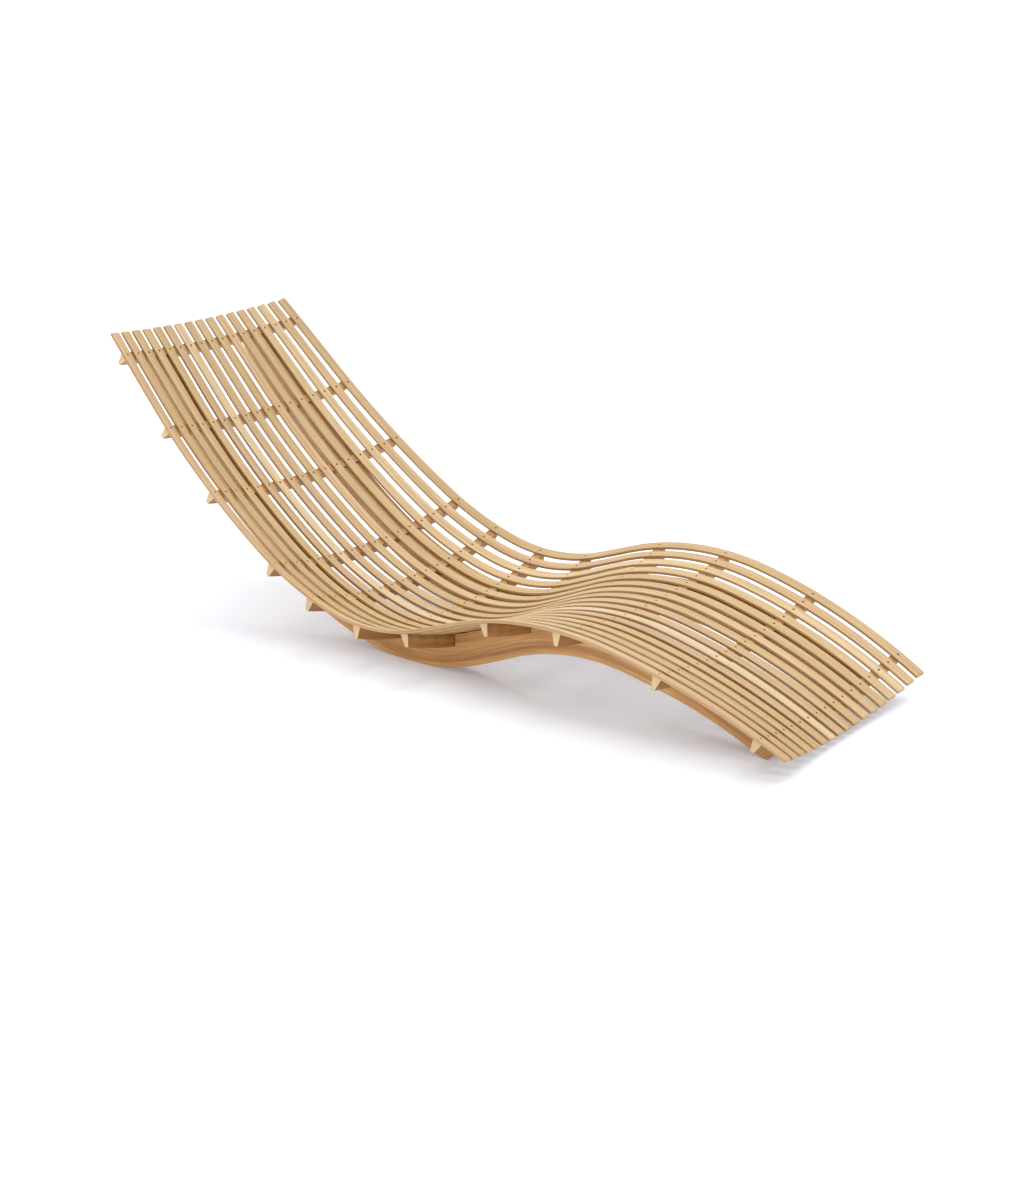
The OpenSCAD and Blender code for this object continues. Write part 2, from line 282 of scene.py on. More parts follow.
def hole_board(places):
    """The holes' points in the straight board, each hole at its crossbar's length."""
    middles = np.c_[BAR_S, BAR_S * 0, BAR_S * 0]
    return places + np.repeat(middles, HOLE_RINGS * RING_POINTS, axis=0)


print("hole helpers ready")

# %% [markdown]
# One function makes every wooden mesh from its arrays and gives it four attributes that
# the wood materials read: the place in the unbent board, how near the point is to a worn
# edge, which faces show end grain, and the tone of this board, since no two boards match.

# %% From arrays to a piece of wood
def wood_piece(name, node, points, faces, board, edge, end_faces, tone):
    """A wooden mesh that rides on the frame and stands for one CAD node."""
    mesh = bpy.data.meshes.new(name)
    used = np.unique(np.concatenate([np.asarray(f).ravel() for f in faces]))
    renumber = np.full(len(points), -1)
    renumber[used] = np.arange(len(used))
    polygons = [p for f in faces for p in renumber[np.asarray(f)].tolist()]
    mesh.from_pydata(points[used].tolist(), [], polygons)
    store(mesh, "board", "FLOAT_VECTOR", "POINT", "vector", board[used])
    store(mesh, "edge", "FLOAT", "POINT", "value", edge[used])
    store(mesh, "end_grain", "FLOAT", "FACE", "value", end_faces)
    store(mesh, "tone", "FLOAT_VECTOR", "POINT", "vector", np.tile(tone, (len(used), 1)))
    return on_frame(name, mesh, node)


def store(mesh, label, kind, domain, field, values):
    """An attribute on the mesh, filled in one go."""
    layer = mesh.attributes.new(label, kind, domain)
    layer.data.foreach_set(field, np.asarray(values, np.float32).ravel())


def on_frame(name, mesh, node):
    """The object for a mesh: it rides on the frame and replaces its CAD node."""
    mesh.update()
    piece = bpy.data.objects.new(name, mesh)
    bpy.context.scene.collection.objects.link(piece)
    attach(piece, "root")
    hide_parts(node)
    return piece


def board_shift():
    """A random place in the pattern of the wood, so that no two boards are alike."""
    return np.array([rng.random() * 20, rng.random() * 3, 0])


def shade(piece, degrees):
    """Smooth faces, but a sharp edge wherever two faces meet at more than this angle."""
    piece.data.shade_smooth()
    piece.data.set_sharp_from_angle(angle=math.radians(degrees))


def end_marks(faces, caps):
    """One for each of the last faces, which are the end caps, and nought for all others."""
    count = sum(len(f) for f in faces)
    marks = np.zeros(count)
    marks[count - caps:] = 1
    return marks


print("wood helper ready")

# %% [markdown]
# A slat is a thin strip, planed, with eased edges and soft rounded ends, and it has one
# countersunk hole over each crossbar. Sweeping a profile keeps its width true along the
# whole bend; a bent box would need far more faces for the same round edges. Its frame leans
# with the dish, so neighbouring slats catch the light differently, as in the photograph.

# %% Slats
SLAT_END = SLAT_LEN - 2 * MM  # a little short, to stay inside the CAD box
EASED, EASE_STEPS, END_ROUND = 1.5 * MM, 3, 3 * MM
SLAT_ROWS, SHARP, EDGE_SHOWS = 139, 34, 0.1 * MM
# A hole's radius and depth, and half the side of the square that is left out for it.
HOLE_R, HOLE_DEEP, HOLE_BLOCK = 2.95 * MM, 2.9 * MM, 4.6 * MM
BLOCK_AT = np.linspace(-1, 1, CELLS + 1)
FLAT = SLAT_W / 2 - EASED
SLAT_WORN = [7, 8, 11, 12, 15, 16, 19, 20]  # the columns in the middle of the eased edges


def slat_profile():
    """The slat's section, clockwise from its upper left: places across and out of the top face."""
    top = np.stack(np.broadcast_arrays(np.r_[-FLAT, BLOCK_AT * HOLE_BLOCK], 0.0), 1)
    low = -SLAT_T + EASED
    middles = (FLAT, -EASED, 90), (FLAT, low, 0), (-FLAT, low, -90), (-FLAT, -EASED, 180)
    corners = [corner(x, y, EASED, start, EASE_STEPS) for x, y, start in middles]
    return np.concatenate([top, *corners])[:-1]


def slat_frames(s, u):
    """Middle of the top face, and the along, across and out directions, at lengths s."""
    near = 0.1 * MM
    middle = deck(s, u)
    along = unit(deck(s + near, u) - deck(s - near, u))
    across = deck(s, u + near) - deck(s, u - near)
    across = unit(across - (across * along).sum(-1, keepdims=True) * along)
    return middle, along, across, np.cross(along, across)


def drawn_in(from_end, radius):
    """How far a side is drawn in near an end, on a quarter circle."""
    return radius - np.sqrt(np.maximum(radius ** 2 - np.maximum(radius - from_end, 0) ** 2, 0))


def make_slat(number):
    """One slat, from the head to the foot, with its row of countersunk holes."""
    u = (number - (SLAT_N + 1) / 2) / ((SLAT_N - 1) / 2)
    holes = (BAR_S[:, None] + BLOCK_AT * HOLE_BLOCK).ravel()
    near_end = np.array([0, 0.25, 0.7, 1.5, 3]) * MM
    special = np.sort(np.concatenate([holes, near_end, SLAT_END - near_end]))
    s = row_places(special, np.linspace(0, SLAT_END, SLAT_ROWS))
    middle, _, across, out = slat_frames(s, u)
    profile = slat_profile()
    from_end = np.minimum(s, SLAT_END - s)
    side, face = drawn_in(from_end, END_ROUND), drawn_in(from_end, EASED)
    sideways = profile[None, :, 0] * (1 - side[:, None] / (SLAT_W / 2))
    centred = profile[None, :, 1] + SLAT_T / 2
    outwards = centred * (1 - face[:, None] / (SLAT_T / 2)) - SLAT_T / 2
    points = carried(middle, across, out, sideways, outwards)
    rows, columns = points.shape[:2]
    first_rows = np.searchsorted(s, BAR_S - HOLE_BLOCK - TINY)
    rings, ring_places, hole_faces = round_holes(
        first_rows, 1, columns, *slat_frames(BAR_S, u)[:3], HOLE_R,
        np.full(len(BAR_S), HOLE_DEEP), rows * columns)
    faces = [tube_faces(rows, columns, left_out(rows, columns, first_rows, 1))]
    faces += hole_faces + end_caps(rows, columns)
    board = np.concatenate([board_places(s, sideways, outwards), hole_board(ring_places)])
    worn = np.isin(np.arange(columns), SLAT_WORN)[None] | (face[:, None] > EDGE_SHOWS)
    rim = np.tile(np.repeat([1, 1, 0], RING_POINTS), len(BAR_S))
    tone, shift = rng.random(3), board_shift()
    piece = wood_piece(
        f"teak_slat_{number:02d}", f"slat_{number:02d}",
        np.concatenate([points.reshape(-1, 3), rings]), faces, board + shift,
        np.concatenate([worn.ravel(), rim]), end_marks(faces, 2), tone)
    shade(piece, SHARP)
    return piece


slats = [make_slat(number) for number in range(1, SLAT_N + 1)]
print(len(slats), "slats of", len(slats[0].data.polygons), "faces")

# %% [markdown]
# A crossbar is sawn to the circle of the dish, with sides that taper downwards, and has a
# shallow seat cut for every slat. Its ends are sawn off upright, and show as pale ears of
# end grain under the outer slats. The section is swept round the circle, and each point
# turns only as far as the upright end lets it. The rows at a seat's two edges come in close
# pairs, one high and one low, so that each seat is a crisp step.

# %% Crossbars
# A crossbar's depth, its width at the top and at the bottom, and how far it stops short of
# the outer slats' edges.
BAR_D, BAR_TOP, BAR_BOT, BAR_SHORT = 31 * MM, 22 * MM, 9 * MM, 4 * MM
SEAT_CUT, SEAT_CLEAR, STEP = 2 * MM, 0.2 * MM, 0.05 * MM
BAR_EASE_TOP, BAR_EASE_LOW, BAR_EASE_END = 0.8 * MM, 2 * MM, 0.9 * MM


def bar_profile():
    """A crossbar's tapered section, clockwise from its upper left."""
    taper = (BAR_TOP - BAR_BOT) / 2 / BAR_D
    high = BAR_TOP / 2 - taper * BAR_EASE_TOP - BAR_EASE_TOP
    low = BAR_BOT / 2 + taper * BAR_EASE_LOW - BAR_EASE_LOW
    up, down = -BAR_EASE_TOP, -BAR_D + BAR_EASE_LOW
    return np.concatenate([
        corner(high, up, BAR_EASE_TOP, 90, 2), corner(low, down, BAR_EASE_LOW, 0, 3),
        corner(-low, down, BAR_EASE_LOW, -90, 3), corner(-high, up, BAR_EASE_TOP, 180, 2)])


def bar_rows(s):
    """Angles of a crossbar's rows round its circle, the seat depth at each, and its end."""
    r, half = dish_radius(s), half_width(s)
    rho = r + SLAT_T - SEAT_CUT
    end = half + SLAT_W / 2 - BAR_SHORT
    reach = math.asin(end / rho)
    middle = np.arcsin(np.linspace(-1, 1, SLAT_N) * half / r)
    wide = (SLAT_W / 2 + SEAT_CLEAR) / rho
    step = STEP / rho
    low = np.concatenate([middle - wide, middle + wide, middle])
    between_seats = (middle[1:] + middle[:-1]) / 2
    high = np.concatenate([middle - wide - step, middle + wide + step, between_seats])
    low, high = low[np.abs(low) < reach], high[np.abs(high) < reach]
    near_end = np.array([0, 0.3, 0.9]) * MM / rho
    ends = np.concatenate([-reach + near_end, reach - near_end])
    angle = np.concatenate([low, high, ends])
    depth = SEAT_CUT * np.repeat([1, 0, 1], [len(low), len(high), len(ends)])
    order = np.argsort(angle)
    return angle[order], depth[order], rho, end


def make_crossbar(number):
    """One crossbar, from the low Y ear to the high Y ear."""
    s = BAR_S[number - 1]
    angle, depth, rho, end = bar_rows(s)
    x, z, slope = side_line(s)
    up = np.array([math.sin(slope), 0, math.cos(slope)])
    foot = np.array([math.cos(slope), 0, -math.sin(slope)])
    centre = np.array([x + X_OFF, 0, z + Z_OFF]) + (dish_radius(s) - dish(s)) * up
    profile = bar_profile()
    face = drawn_in((angle.max() - np.abs(angle)) * rho, BAR_EASE_END)[:, None]
    sideways = profile[None, :, 0] * (1 - face / (BAR_TOP / 2))
    lowered = np.where(profile[None, :, 1] > -BAR_D / 2, depth[:, None] + face, -face)
    outwards = profile[None, :, 1] - lowered
    radius = rho - outwards
    turn = (angle[:, None] * np.arcsin(end / radius) / angle.max())[..., None]
    round_circle = np.sin(turn) * np.array([0, 1, 0]) - np.cos(turn) * up
    points = centre + radius[..., None] * round_circle - sideways[..., None] * foot
    rows, columns = points.shape[:2]
    faces = [tube_faces(rows, columns)] + end_caps(rows, columns)
    worn = np.isin(np.arange(columns), [1, columns - 2])[None] | (face > EDGE_SHOWS)
    shift = board_shift()
    shift[2] = rng.random()
    piece = wood_piece(
        f"teak_crossbar_{number:02d}", f"crossbar_{number:02d}",
        points.reshape(-1, 3), faces, board_places(angle * rho, sideways, outwards) + shift,
        worn.ravel(), end_marks(faces, 2), rng.random(3))
    shade(piece, SHARP)
    return piece


crossbars = [make_crossbar(number) for number in range(1, len(BAR_S) + 1)]
print(len(crossbars), "crossbars of", len(crossbars[5].data.polygons), "faces")

# %% [markdown]
# A beam is a thick board bent along under the slats. Its top leans with the dish, its lower
# edges are rounded, and the lowest points are planed flat for the floor. Crossbars drop into
# housings in the top, and screws go up through deep counterbores in the underside. The
# housings need no boolean either: the rows at a housing simply have their top lower down.

# %% Beams
# A beam's thickness, the gap between it and the slats, and how far it runs past the last
# crossbars.
BEAM_W, BEAM_GAP, BEAM_OVER = 52 * MM, 3 * MM, 8 * MM
TOP_EASE, LOW_EASE, BEAM_ROWS, BEAM_SHARP = 1.5 * MM, 8 * MM, 165, 38
BEAM_WORN = [1, 11]  # the columns in the middle of the top's eased edges
# The wood between a housing and a screw's counterbore, the counterbore's radius, and half the
# side of the square round it.
BOLT_GRIP, BORE_R, BORE_BLOCK = 16 * MM, 4.65 * MM, 5.75 * MM
# Half a housing's length at its floor and at its mouth. A crossbar tapers downwards, so it is
# a little narrower at the mouth than at its own top.
HOUSE_CLEAR, MOUTH_LESS = 0.25 * MM, 0.7 * MM
FLOOR_HALF, MOUTH_HALF = BAR_BOT / 2 + HOUSE_CLEAR, BAR_TOP / 2 - MOUTH_LESS + HOUSE_CLEAR
LEAN_RATE = 1.75 * DISH_SEAT / half_width(DISH_AT)  # the lean of the CAD's slats and beams
TILT = math.atan(BEAM_Y / half_width(DISH_AT) * LEAN_RATE)


def beam_columns():
    """A beam's section, clockwise: the places across, each point's distance from the top or
    from the bottom, which of the two it is, and the first column of the screws' squares."""
    top_x, low_x = BEAM_W / 2 - TOP_EASE, BEAM_W / 2 - LOW_EASE
    flat = np.linspace(-top_x, top_x, 9)[1:-1]
    upper = np.concatenate([
        corner(-top_x, -TOP_EASE, TOP_EASE, 180, 2), np.stack([flat, 0 * flat], 1),
        corner(top_x, -TOP_EASE, TOP_EASE, 90, 2)])
    right = corner(low_x, LOW_EASE, LOW_EASE, 0, 4)
    bottom = np.stack([-BLOCK_AT * BORE_BLOCK, 0 * BLOCK_AT], 1)
    left = corner(-low_x, LOW_EASE, LOW_EASE, -90, 4)
    section = np.concatenate([upper, right, bottom, left])
    from_top = np.arange(len(section)) < len(upper)
    return section[:, 0], section[:, 1], from_top, len(upper) + len(right)


def beam_top(s, across, side):
    """Depth of a beam's top below the side line: under the slats, but down in each housing."""
    slope = side_line(s)[2]
    base = drop(s, BEAM_Y / half_width(s)) + SLAT_T
    depth = base[:, None] + BEAM_GAP - side * across * math.tan(TILT) * np.cos(slope)[:, None]
    bar = BAR_S[np.abs(s[:, None] - BAR_S).argmin(1)]
    r = dish_radius(bar)[:, None]
    bar_low = np.sqrt((r + SLAT_T - SEAT_CUT + BAR_D) ** 2 - (side * BEAM_Y + across) ** 2)
    under = bar_low - r + dish(bar)[:, None]
    share = np.clip((np.abs(s - bar) - FLOOR_HALF) / (MOUTH_HALF - FLOOR_HALF), 0, 1)[:, None]
    at_end = (s < BAR_S[0] - FLOOR_HALF) | (s > BAR_S[-1] + FLOOR_HALF)
    share = np.where(at_end[:, None], 0, share)
    return under + (depth - under) * share


def beam_bottom(s):
    """Depth of a beam's bottom below the side line."""
    return drop(s, BEAM_Y / half_width(s)) + SLAT_T + beam_depth(s)


def make_beam(name, side):
    """One beam; side is 1 for the one at +Y and -1 for the one at -Y."""
    begin, end = BAR_S[0] - BEAM_OVER, BAR_S[-1] + BEAM_OVER
    offsets = np.r_[-MOUTH_HALF, BLOCK_AT * BORE_BLOCK, MOUTH_HALF]
    special = (BAR_S[:, None] + offsets).ravel()
    special = np.r_[begin, special[(special > begin) & (special < end)], end]
    s = row_places(special, np.linspace(begin, end, BEAM_ROWS))
    y, inset, from_top, bore_column = beam_columns()
    across = np.tile(y, (len(s), 1))
    low = beam_bottom(s)[:, None]
    below = np.where(from_top, beam_top(s, across, side), low) - inset
    points = place(s[:, None], side * BEAM_Y + across, below)
    rows, columns = points.shape[:2]
    first_rows = np.searchsorted(s, BAR_S - BORE_BLOCK - TINY)
    low_at = beam_bottom(BAR_S)
    slope = side_line(BAR_S)[2]
    along = np.stack([np.cos(slope), 0 * slope, -np.sin(slope)], 1)
    back = np.tile([0.0, -1.0, 0.0], (len(BAR_S), 1))
    deep = low_at - beam_top(BAR_S, np.zeros((len(BAR_S), 1)), side)[:, 0] - BOLT_GRIP
    rings, ring_places, hole_faces = round_holes(
        first_rows, bore_column, columns, place(BAR_S, side * BEAM_Y, low_at), along, back,
        BORE_R, deep, rows * columns)
    every = np.concatenate([points.reshape(-1, 3), rings])
    every[:, 2] = np.maximum(every[:, 2], 0)  # planed flat where it meets the floor
    faces = [tube_faces(rows, columns, left_out(rows, columns, first_rows, bore_column))]
    faces += hole_faces + end_caps(rows, columns)
    board = np.concatenate([
        board_places(s, across, low - below), hole_board(ring_places * [1, -1, -1])])
    worn = np.tile(np.isin(np.arange(columns), BEAM_WORN), rows)
    piece = wood_piece(
        name, name.replace("teak_", ""), every, faces, board + board_shift(),
        np.concatenate([worn, np.zeros(len(rings))]), end_marks(faces, 2), rng.random(3))
    shade(piece, BEAM_SHARP)
    return piece


beams = [make_beam("teak_beam_left", 1), make_beam("teak_beam_right", -1)]
print(len(beams), "beams of", len(beams[0].data.polygons), "faces")

# %% [markdown]
# The screws are small, but there are well over a hundred, and their dark heads make a fine
# dotted pattern. Each has a domed head with a six-pointed recess and a plain shank, and all
# screws of a crossbar are one piece, like their CAD node. One screw is drawn once, as rings,
# and placed at every slat by its frame, which is quicker than as many separate objects.

# %% Slat screws
# The head's radius, its height, how deep its top is sunk, and how far its dome falls by the
# last ring but one and by its edge.
HEAD_R, HEAD_H, HEAD_SINK, HEAD_DOME, HEAD_EDGE = 2.8 * MM, 2.2 * MM, 0.8 * MM, 0.35 * MM, 0.8 * MM
RECESS_OUT, RECESS_IN, RECESS_DEEP = 1.25 * MM, 0.85 * MM, 1.3 * MM
SHANK_R, SHANK_IN, SIDES, SCREW_SHARP = 1.8 * MM, 9 * MM, 12, 30


def screw_rings():
    """Radii and heights of a screw's rings, from its recess over the head to the tip."""
    star = np.where(np.arange(SIDES) % 2, RECESS_OUT, RECESS_IN)
    full = np.ones(SIDES)
    radii = np.stack([
        star * 0.9, star, full * HEAD_R * 0.93, full * HEAD_R, full * HEAD_R,
        full * SHANK_R, full * SHANK_R])
    below_top = [RECESS_DEEP, 0, HEAD_DOME, HEAD_EDGE, HEAD_H, HEAD_H]
    heights = np.r_[-HEAD_SINK - np.array(below_top), -SLAT_T - SHANK_IN]
    return radii, heights


def make_slat_screws(number):
    """All screws that hold the slats to one crossbar."""
    radii, heights = screw_rings()
    turn = np.radians(np.arange(SIDES) * 360 / SIDES)
    rings = len(heights)
    points, faces = [], []
    for k, u in enumerate(np.linspace(-1, 1, SLAT_N)):
        middle, along, across, out = (v[0] for v in slat_frames(BAR_S[number - 1:number], u))
        spun = turn + rng.random() * 6.3
        flat = radii[..., None] * (np.cos(spun)[:, None] * along + np.sin(spun)[:, None] * across)
        points.append((middle + flat + heights[:, None, None] * out).reshape(-1, 3))
        start = k * rings * SIDES
        faces += [f + start for f in [tube_faces(rings, SIDES)] + end_caps(rings, SIDES)]
    node = f"slat_screws_{number:02d}"
    mesh = bpy.data.meshes.new(node)
    mesh.from_pydata(np.concatenate(points).tolist(), [], [p for f in faces for p in f.tolist()])
    piece = on_frame(f"steel_{node}", mesh, node)
    shade(piece, SCREW_SHARP)
    return piece


slat_screws = [make_slat_screws(number) for number in range(1, len(BAR_S) + 1)]
print(len(slat_screws) * SLAT_N, "slat screws")

# %% [markdown]
# The finishes are built from nodes, so they have no pictures and no seams. Small helpers
# add a node, set its values and join its inputs, so that each material reads like a list
# of steps. Every wood pattern is looked up at the board attribute, stretched along the
# board: broad streaks, growth lines, fine fibres and short pores.

# %% Node helpers
def feed(tree, socket, value):
    """Gives an input its value, or joins it to another node's socket."""
    if isinstance(value, bpy.types.NodeSocket):
        tree.links.new(value, socket)
    else:
        socket.default_value = value


def add(tree, kind, inputs=None, **settings):
    """A node of this kind, with its settings and what goes into its inputs."""
    node = tree.nodes.new(kind)
    for label, value in settings.items():
        setattr(node, label, value)
    for label, value in (inputs or {}).items():
        feed(tree, node.inputs[label], value)
    return node


def maths(tree, operation, a, b=0.0):
    """The result of one sum on two values."""
    return add(tree, "ShaderNodeMath", {0: a, 1: b}, operation=operation).outputs[0]


def vectors(tree, operation, a, b):
    """The result of one sum on two vectors."""
    return add(tree, "ShaderNodeVectorMath", {0: a, 1: b}, operation=operation).outputs[0]


def new_material(name):
    """An empty node material with its shader and output."""
    material = bpy.data.materials.new(name)
    material.use_nodes = True
    tree = material.node_tree
    tree.nodes.clear()
    shader = add(tree, "ShaderNodeBsdfPrincipled")
    add(tree, "ShaderNodeOutputMaterial", {"Surface": shader.outputs[0]})
    return material, tree, shader


def attribute(tree, label, output="Vector"):
    """The socket that gives one of the mesh's own attributes."""
    return add(tree, "ShaderNodeAttribute", attribute_name=label).outputs[output]


def mixed(tree, share, a, b):
    """The colour between two colours, by a share from 0 to 1."""
    return add(tree, "ShaderNodeMix", {0: share, 6: a, 7: b}, data_type="RGBA").outputs[2]


def between(tree, value, low, high, to_low=0.0, to_high=1.0):
    """A value spread from one range to another, and held within it."""
    return add(tree, "ShaderNodeMapRange", {
        "Value": value, "From Min": low, "From Max": high,
        "To Min": to_low, "To Max": to_high}).outputs[0]


def tinted(tree, colour, towards, pattern, low, high, at_low=0.0, at_high=1.0):
    """The colour, taken towards another one by as much as the pattern says."""
    return mixed(tree, between(tree, pattern, low, high, at_low, at_high), colour, towards)


def stretched_noise(tree, place, scale, detail, rough=0.5):
    """Noise with its own scale along, across and through the board, in waves a metre."""
    return add(tree, "ShaderNodeTexNoise", {
        "Vector": vectors(tree, "MULTIPLY", place, scale), "Scale": 1, "Detail": detail,
        "Roughness": rough}).outputs[0]


def srgb(red, green, blue):
    """A colour given as 0 to 255 on the screen, in the renderer's linear values."""
    share = np.array([red, green, blue]) / 255
    linear = np.where(share <= 0.04045, share / 12.92, ((share + 0.055) / 1.055) ** 2.4)
    return (*linear.tolist(), 1)


print("node helpers ready")

# %% [markdown]
# Teak bleaches from brown to golden tan, and each board differs: some are pinker, some
# paler. The tone attribute picks between those colours. A wave bent by noise gives growth
# lines, which would look like ruled stripes if they were straight. Worn edges are a little
# lighter, end grain has a colour of its own and no streaks, and the pores are slightly
# sunken. The slats' sides and undersides are painted browner: painted shade between the slats.

# %% Teak
DRIFT, BUMP_DEEP = 4 * MM, 0.4 * MM


def teak(name, golden, pink, pale, streak, end_colour, layers=0.0, side_shade_depth=0.0):
    """Teak of three board colours, with darker streaks and its own end grain.

    layers is the thickness of a lamination, and side_shade_depth how deep below the top face the
    painted shade on the sides and underside sets in."""
    material, tree, shader = new_material(name)
    board, tone = attribute(tree, "board"), attribute(tree, "tone")
    tones = add(tree, "ShaderNodeSeparateXYZ", {0: tone}).outputs
    wander = stretched_noise(tree, board, (2.2, 40, 40), 2)
    drift = between(tree, wander, 0, 1, -DRIFT, DRIFT)
    shift = add(tree, "ShaderNodeCombineXYZ", {"Y": drift, "Z": drift}).outputs[0]
    place = vectors(tree, "ADD", board, shift)
    streaks = stretched_noise(tree, place, (1.4, 150, 120), 4, 0.6)
    fibres = stretched_noise(tree, place, (16, 1500, 1500), 2)
    pores = stretched_noise(tree, place, (70, 2600, 2600), 1)
    patches = stretched_noise(tree, place, (3.5, 22, 22), 2)
    rings = add(tree, "ShaderNodeTexWave", {
        "Vector": vectors(tree, "MULTIPLY", place, (0.05, 1, 0.6)), "Scale": 62,
        "Distortion": 7, "Detail": 2, "Detail Scale": 1.4}, bands_direction="Y").outputs[1]
    colour = tinted(tree, golden, pink, tones[0], 0.35, 1)
    colour = tinted(tree, colour, pale, tones[1], 0.5, 1)
    colour = tinted(tree, colour, pale, patches, 0.35, 0.7, 0, 0.35)
    colour = tinted(tree, colour, streak, streaks, 0.46, 0.72, 0, 0.6)
    colour = tinted(tree, colour, streak, rings, 0.55, 1, 0, 0.3)
    colour = tinted(tree, colour, streak, fibres, 0.5, 0.72, 0, 0.4)
    height = add(tree, "ShaderNodeSeparateXYZ", {0: board}).outputs[2]
    # Painted shade: the deeper a point lies below the top face, the darker it is taken, so the sides
    # and underside look shaded.
    if side_shade_depth:
        colour = tinted(tree, colour, streak, height, -1.2 * side_shade_depth, -0.4 * side_shade_depth, 0.3, 0)
    if layers:
        # Painted highlight: the lowest lamination, along the rounded lower edge, is taken towards
        # the pale colour, for the light the floor throws on that edge.
        colour = tinted(tree, colour, pale, height, layers * 0.96, layers * 1.04, 0.55, 0)
        count = maths(tree, "DIVIDE", height, layers)
        chance = add(tree, "ShaderNodeTexWhiteNoise", {"W": maths(tree, "FLOOR", count)},
                     noise_dimensions="1D").outputs[0]
        colour = tinted(tree, colour, streak, chance, 0, 1, 0, 0.4)
        colour = tinted(tree, colour, streak, maths(tree, "FRACT", count), 0.9, 0.97, 0, 0.5)
    colour = tinted(tree, colour, streak, pores, 0.66, 0.74, 0, 0.4)
    colour = tinted(tree, colour, pale, attribute(tree, "edge", "Fac"), 0, 1, 0, 0.3)
    speckle = stretched_noise(tree, board, (900, 900, 900), 3, 0.7)
    ends = tinted(tree, end_colour, streak, speckle, 0.4, 0.7, 0, 0.5)
    colour = mixed(tree, attribute(tree, "end_grain", "Fac"), colour, ends)
    bright = between(tree, tones[2], 0, 1, 0.91, 1.06)
    colour = add(tree, "ShaderNodeHueSaturation", {"Color": colour, "Value": bright}).outputs[0]
    feed(tree, shader.inputs["Base Color"], colour)
    feed(tree, shader.inputs["Roughness"], between(tree, fibres, 0.3, 0.7, 0.42, 0.56))
    sunken = maths(tree, "ADD", fibres, pores)
    bump = add(tree, "ShaderNodeBump", {
        "Height": sunken, "Strength": 0.22, "Distance": BUMP_DEEP}, invert=True)
    feed(tree, shader.inputs["Normal"], bump.outputs[0])
    return material


slat_teak = teak(
    "slat_teak", golden=srgb(184, 151, 96), pink=srgb(190, 152, 113), pale=srgb(206, 182, 138),
    streak=srgb(138, 94, 40), end_colour=srgb(166, 130, 82), side_shade_depth=1.5 * MM)
# The crossbars' body colours are darker and browner than the slats': painted shade, for the shade
# they lie in under the slats. The pale end colour is the ears' end grain.
crossbar_teak = teak(
    "crossbar_teak", golden=srgb(164, 114, 50), pink=srgb(160, 108, 50), pale=srgb(188, 140, 76),
    streak=srgb(106, 64, 24), end_colour=srgb(214, 184, 138))
beam_teak = teak(
    "beam_teak", golden=srgb(208, 152, 82), pink=srgb(202, 142, 78), pale=srgb(228, 182, 116),
    streak=srgb(128, 78, 30), end_colour=srgb(210, 172, 116), layers=7.4 * MM)
print("teak ready")

# %% [markdown]
# The screws are stainless steel, painted nearly black: painted shade, for the shade of their
# holes, which makes them nearly black in the photograph. A little noise in the colour and the
# roughness keeps the beam's larger screws, seen from below, from looking like plastic.

# %% Steel, and every material on its pieces
def shade_darkened_steel():
    """Stainless steel with faint stains, painted nearly black as painted shade."""
    material, tree, shader = new_material("screw_steel")
    place = add(tree, "ShaderNodeTexCoord").outputs["Object"]
    stains = add(tree, "ShaderNodeTexNoise", {"Vector": place, "Scale": 900, "Detail": 3}).outputs[0]
    # Painted shade: the steel's colour is nearly black, for the shade of the holes. The noise adds
    # faint stains.
    colour = tinted(tree, (0.05, 0.047, 0.045, 1), (0.12, 0.11, 0.10, 1), stains, 0.35, 0.65)
    feed(tree, shader.inputs["Base Color"], colour)
    feed(tree, shader.inputs["Roughness"], between(tree, stains, 0.3, 0.7, 0.32, 0.55))
    feed(tree, shader.inputs["Metallic"], 0.9)
    return material


def finish_with(material, pieces):
    """Gives each piece its one material."""
    for piece in pieces:
        piece.data.materials.clear()
        piece.data.materials.append(material)


steel = shade_darkened_steel()
finish_with(slat_teak, slats)
finish_with(crossbar_teak, crossbars)
finish_with(beam_teak, beams)
finish_with(steel, slat_screws)
finish_with(steel, [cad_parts[name] for name in ("beam_screws_left", "beam_screws_right")])
print("materials:", [m.name for m in (slat_teak, crossbar_teak, beam_teak, steel)])

# %% [markdown]
# The photograph was taken in a white studio: the floor burns out to white, and only a faint
# lilac shadow is left below and in front of the chaise. A sun lamp with a large angle works
# like a wide soft box, and lights the whole floor evenly. One stands overhead, one behind
# and to the right. A low one in front lights the beam and the crossbars' ends. The outer
# slats keep it off the others, so the gaps between those stay dark. The floor glows a little,
# like a light table, and the sky looks whiter than it shines, like a paper roll behind.

# %% Floor and light
def make_floor(half, colour, glow_colour, glow):
    """A square floor at z = 0, lit a little from below like a light table."""
    mesh = bpy.data.meshes.new("studio_floor")
    corners = [(-half, -half, 0), (half, -half, 0), (half, half, 0), (-half, half, 0)]
    mesh.from_pydata(corners, [], [(0, 1, 2, 3)])
    floor = bpy.data.objects.new("studio_floor", mesh)
    bpy.context.scene.collection.objects.link(floor)
    material, tree, shader = new_material("studio_white")
    look = {"Base Color": colour, "Roughness": 0.9, "Specular IOR Level": 0,
            "Emission Color": glow_colour, "Emission Strength": glow}
    for label, value in look.items():
        feed(tree, shader.inputs[label], value)
    mesh.materials.append(material)


def aimed(thing, place, target):
    """Puts a lamp or a camera at a place, looking at a target, upright."""
    thing.location = place
    thing.rotation_euler = (Vector(target) - Vector(place)).to_track_quat("-Z", "Y").to_euler()
    bpy.context.scene.collection.objects.link(thing)
    return thing


def wide_sun(name, place, degrees, power, colour):
    """A sun lamp as wide as this angle, shining from that side; part of the studio."""
    data = bpy.data.lights.new(name, "SUN")
    data.angle, data.energy, data.color = math.radians(degrees), power, colour
    aimed(bpy.data.objects.new(name, data), place, (0, 0, 0))


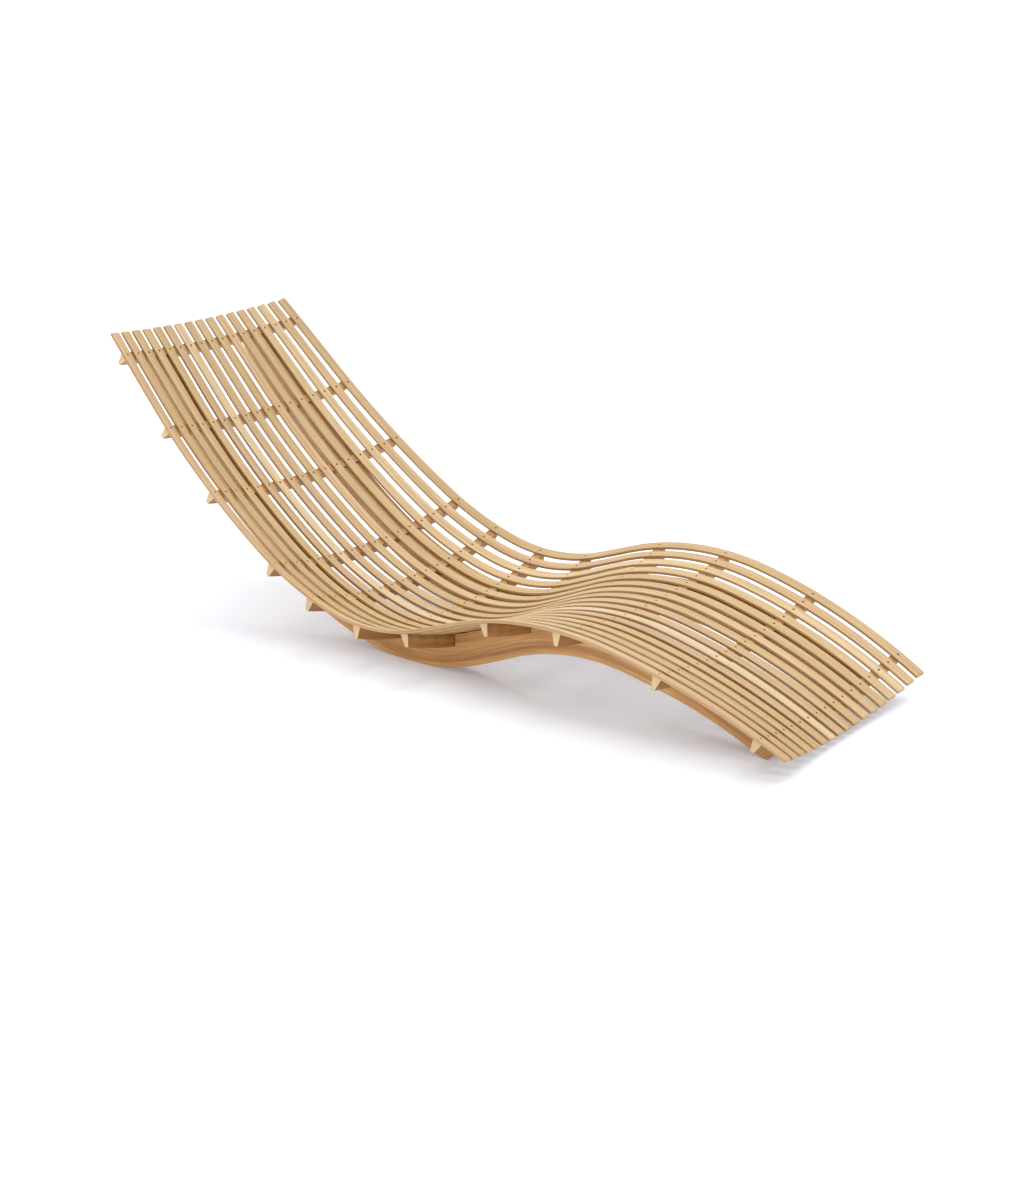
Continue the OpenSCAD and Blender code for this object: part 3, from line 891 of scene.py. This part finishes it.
def white_sky(colour, glow, seen, mirrored):
    """A sky that lights the scene with the strength glow, but looks brighter than that."""
    world = bpy.data.worlds.new("white_studio")
    world.use_nodes = True
    tree = world.node_tree
    tree.nodes.clear()
    ray = add(tree, "ShaderNodeLightPath").outputs
    strength = between(tree, ray["Is Glossy Ray"], 0, 1, glow, mirrored)
    to_camera = between(tree, ray["Is Camera Ray"], 0, 1, 0, seen)
    strength = maths(tree, "MAXIMUM", strength, to_camera)
    shine = add(tree, "ShaderNodeBackground", {"Color": colour, "Strength": strength})
    add(tree, "ShaderNodeOutputWorld", {"Surface": shine.outputs[0]})
    return world


make_floor(half=60, colour=(0.83, 0.84, 0.88, 1), glow_colour=(0.7, 0.82, 1, 1), glow=0.16)
wide_sun("overhead_light", (-0.9, 0.4, 4.0), degrees=100, power=2.4, colour=(1, 0.99, 0.97))
wide_sun("key_light", (0.9, 1.7, 3.4), degrees=24, power=0.85, colour=(1, 0.98, 0.95))
wide_sun("front_light", (0.5, -4.0, 0.5), degrees=24, power=0.95, colour=(1, 0.98, 0.96))
scene = bpy.context.scene
scene.world = white_sky(colour=(0.92, 0.955, 1, 1), glow=0.6, seen=1.4, mirrored=1.3)
scene.view_settings.view_transform = "Standard"
print("studio ready")

# %% [markdown]
# The camera stands where the photograph was taken from: the place, heading and lens were
# found by fitting the lying curve to the screw heads in the picture. The picture is cropped
# off centre, so the lens is also shifted a little.

# %% Camera
CAMERA_PLACE = (2.6092, -3.3809, 1.5674)
TURNED_LEFT, TIPPED_DOWN = math.radians(37.269), math.radians(16.981)
LENS, SENSOR, SHIFT_Y = 69.79, 36, -0.063
level = math.cos(TIPPED_DOWN)
looking = Vector((
    -math.sin(TURNED_LEFT) * level, math.cos(TURNED_LEFT) * level, -math.sin(TIPPED_DOWN)))
camera_data = bpy.data.cameras.new("camera")
camera_data.sensor_fit = "HORIZONTAL"
camera_data.lens, camera_data.sensor_width, camera_data.shift_y = LENS, SENSOR, SHIFT_Y
camera = bpy.data.objects.new("camera", camera_data)
scene.camera = aimed(camera, CAMERA_PLACE, Vector(CAMERA_PLACE) + looking)
print("camera at", CAMERA_PLACE)
